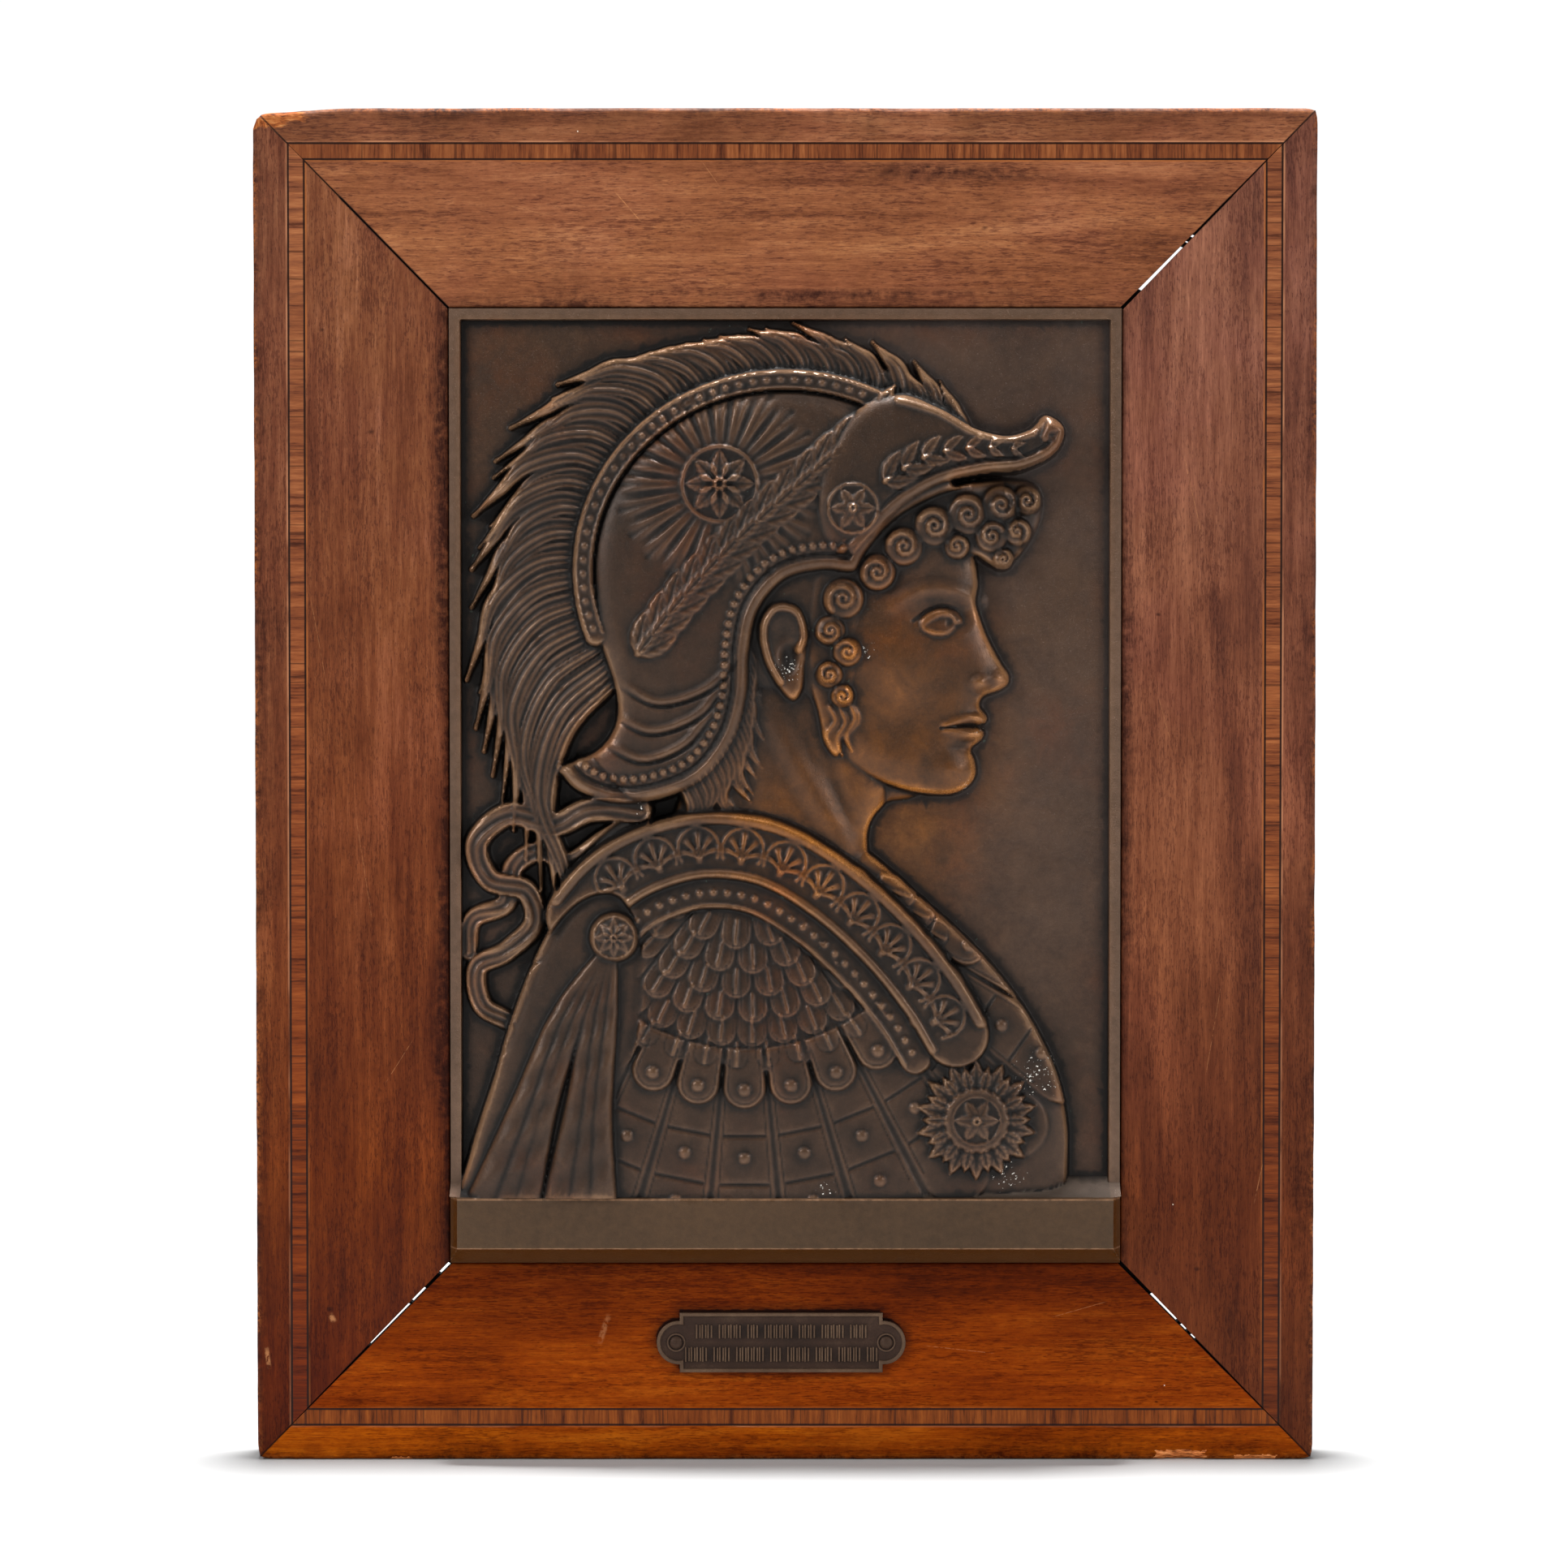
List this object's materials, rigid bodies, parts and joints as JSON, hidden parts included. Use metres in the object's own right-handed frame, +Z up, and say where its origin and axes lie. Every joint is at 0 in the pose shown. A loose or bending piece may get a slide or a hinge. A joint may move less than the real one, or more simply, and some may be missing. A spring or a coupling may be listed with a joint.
{
  "type": "relief plaque",
  "caption": "Framed wall plaque: a cast bronze relief of a helmeted youth in profile, in a mitred wood frame with an inlaid band and a small nameplate.",
  "frame": {"origin": "on the flat back of the top board, at its middle, where the plaque is held to the wall", "axes": "+Z up, +Y out of the back into the wall, the relief faces -Y, +X to the right as it is looked at"},
  "size_m": [0.262, 0.0279, 0.334],
  "materials": {
    "mahogany": "satin varnish, worn",
    "inlay": "satin varnish, crossbanded, dark stringing",
    "bronze": "dark brown patina, waxed",
    "nameplate_bronze": "dark brown patina, dull"
  },
  "bodies": {
    "root": {"frame_board_top": "mahogany", "frame_board_bottom": "mahogany", "frame_board_left": "mahogany", "frame_board_right": "mahogany", "inlay_band_top": "inlay", "inlay_band_bottom": "inlay", "inlay_band_left": "inlay", "inlay_band_right": "inlay", "relief_plaque": "bronze", "nameplate": "nameplate_bronze", "nameplate_pin_left": "nameplate_bronze", "nameplate_pin_right": "nameplate_bronze"}
  },
  "joints": []
}
